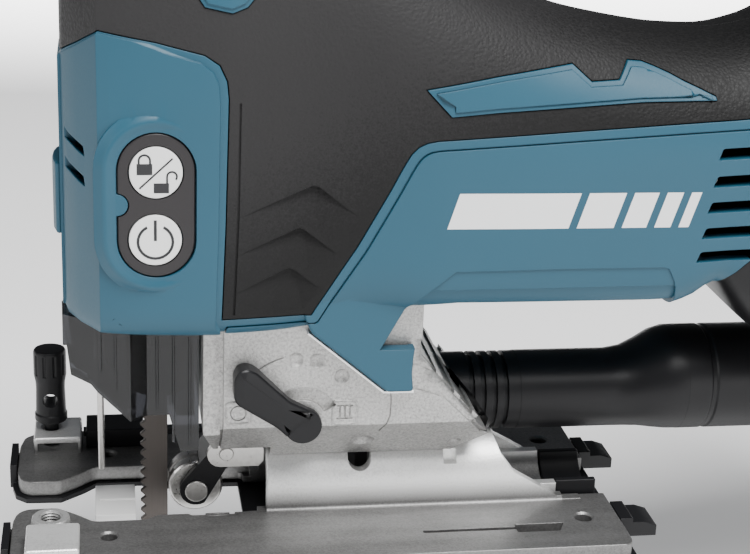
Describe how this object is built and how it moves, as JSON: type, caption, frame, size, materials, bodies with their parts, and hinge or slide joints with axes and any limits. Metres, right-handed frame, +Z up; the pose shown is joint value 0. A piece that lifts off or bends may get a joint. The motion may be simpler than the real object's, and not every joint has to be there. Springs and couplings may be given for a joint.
{
  "type": "jigsaw",
  "caption": "Cordless barrel-grip jigsaw with a tilting cast base, a reciprocating blade driven by a geared motor, a blade guide roller and a sliding battery.",
  "frame": {"origin": "on the sole's plane, below the body and on the tool's middle plane", "axes": "+X rearwards to the battery, -X towards the blade and nose, +Z up, -Z out of the sole, -Y to the tool's left"},
  "size_m": [0.2966, 0.0808, 0.228],
  "materials": {
    "teal_plastic": "fine satin texture",
    "soft_grip": "fine grain",
    "black_plastic": "satin",
    "cast_aluminium": "as cast, fine grain",
    "bright_steel": "bright",
    "dark_steel": "blackened",
    "bronze": "machined",
    "motor_steel": "laminated",
    "white_plastic": "smooth",
    "clear_plastic": "clear smoked",
    "circuit_board": "lacquered",
    "lamp_lens": "clear"
  },
  "bodies": {
    "housing": {"housing_left": "teal_plastic", "housing_right": "teal_plastic", "grip_cover_left": "soft_grip", "grip_cover_right": "soft_grip", "accent_inlay_left": "teal_plastic", "accent_inlay_right": "teal_plastic", "rear_housing": "black_plastic", "switch_panel_left": "black_plastic", "switch_panel_right": "black_plastic", "led_lamp": "lamp_lens", "gear_housing": "cast_aluminium", "lower_guide": "bronze", "upper_guide": "bronze", "gear_bearing": "bright_steel", "front_bearing": "bright_steel", "rear_bearing": "bright_steel", "motor_stator": "motor_steel", "holder_bracket": "bright_steel", "holder_pin": "bright_steel", "wire_guard": "bright_steel", "clamp_plate": "dark_steel", "clamp_bolt": "dark_steel", "terminal_block": "black_plastic", "controller_board": "circuit_board", "housing_screw_1": "dark_steel", "housing_screw_2": "dark_steel", "housing_screw_3": "dark_steel", "housing_screw_4": "dark_steel"},
    "base": {"base_plate": "cast_aluminium", "cover_plate": "black_plastic", "anti_splinter_insert": "white_plastic", "bevel_stop": "black_plastic", "key_clip": "black_plastic", "hex_key": "dark_steel"},
    "fence_clamp": {"fence_screw": "black_plastic"},
    "plunger": {"plunger_rod": "bright_steel", "blade_clamp": "dark_steel", "saw_blade": "bright_steel"},
    "rotor": {"motor_rotor": "motor_steel", "cooling_fan": "black_plastic"},
    "gear": {"drive_gear": "dark_steel"},
    "lock_left": {"lock_button_left": "white_plastic"},
    "lock_right": {"lock_button_right": "white_plastic"},
    "power_left": {"power_button_left": "white_plastic"},
    "power_right": {"power_button_right": "white_plastic"},
    "dial": {"speed_dial": "black_plastic"},
    "opener": {"tool_opener": "teal_plastic"},
    "orbital": {"orbital_lever": "black_plastic", "orbital_cam": "dark_steel"},
    "holder": {"roller_holder": "dark_steel", "roller_pin": "bright_steel"},
    "roller": {"guide_roller": "bright_steel"},
    "cover": {"dust_cover": "clear_plastic"},
    "nozzle": {"dust_nozzle": "black_plastic"},
    "battery": {"battery_case": "black_plastic"},
    "latch": {"battery_latch": "soft_grip"}
  },
  "joints": [
    {"name": "base_tilt", "type": "hinge", "parent": "housing", "child": "base", "pos_m": [0, 0, 0.01], "axis": [1, 0, 0], "range_deg": [-45, 45]},
    {"name": "fence_screw_turn", "type": "hinge", "parent": "base", "child": "fence_clamp", "pos_m": [-0.083, 0.032, 0.012], "axis": [0, 0, 1], "continuous": true},
    {"name": "blade_stroke", "type": "slide", "parent": "housing", "child": "plunger", "axis": [0, 0, 1], "range_m": [0, 0.026]},
    {"name": "rotor_spin", "type": "hinge", "parent": "housing", "child": "rotor", "pos_m": [0, 0, 0.092], "axis": [1, 0, 0], "continuous": true},
    {"name": "gear_spin", "type": "hinge", "parent": "housing", "child": "gear", "pos_m": [0, 0, 0.11608], "axis": [1, 0, 0], "continuous": true},
    {"name": "orbital_turn", "type": "hinge", "parent": "housing", "child": "orbital", "pos_m": [-0.0207, -0.025, 0.0346], "axis": [0, 1, 0], "range_deg": [-24, 50]},
    {"name": "holder_swing", "type": "hinge", "parent": "housing", "child": "holder", "pos_m": [-0.038, 0, 0.0196], "axis": [0, 1, 0], "range_deg": [-4, 0]},
    {"name": "roller_spin", "type": "hinge", "parent": "holder", "child": "roller", "pos_m": [-0.0455, 0, 0.0086], "axis": [0, 1, 0], "continuous": true},
    {"name": "cover_drop", "type": "slide", "parent": "housing", "child": "cover", "axis": [0, 0, 1], "range_m": [-0.006, 0]},
    {"name": "opener_swing", "type": "hinge", "parent": "housing", "child": "opener", "pos_m": [-0.0777, 0.008, 0.0875], "axis": [0, 0, -1], "range_deg": [0, 75], "stiffness_Nm_per_rad": 0.02},
    {"name": "dial_turn", "type": "hinge", "parent": "housing", "child": "dial", "pos_m": [0.112, 0, 0.134], "axis": [0, 1, 0], "range_deg": [-130, 130]},
    {"name": "nozzle_pull", "type": "slide", "parent": "housing", "child": "nozzle", "axis": [1, 0, 0], "range_m": [0, 0.05]},
    {"name": "battery_slide", "type": "slide", "parent": "housing", "child": "battery", "axis": [0, 0, 1], "range_m": [0, 0.09]},
    {"name": "latch_press", "type": "slide", "parent": "battery", "child": "latch", "axis": [0, 0, -1], "range_m": [0, 0.0015], "stiffness_N_per_m": 800, "springref_m": -0.001},
    {"name": "lock_left_press", "type": "slide", "parent": "housing", "child": "lock_left", "axis": [0, 1, 0], "range_m": [0, 0.0008], "stiffness_N_per_m": 800, "springref_m": -0.0005},
    {"name": "power_left_press", "type": "slide", "parent": "housing", "child": "power_left", "axis": [0, 1, 0], "range_m": [0, 0.0008], "stiffness_N_per_m": 800, "springref_m": -0.0005},
    {"name": "lock_right_press", "type": "slide", "parent": "housing", "child": "lock_right", "axis": [0, -1, 0], "range_m": [0, 0.0008], "stiffness_N_per_m": 800, "springref_m": -0.0005},
    {"name": "power_right_press", "type": "slide", "parent": "housing", "child": "power_right", "axis": [0, -1, 0], "range_m": [0, 0.0008], "stiffness_N_per_m": 800, "springref_m": -0.0005}
  ],
  "couplings": [
    {"joint": "gear_spin", "follows": "rotor_spin", "ratio": -0.16667}
  ]
}
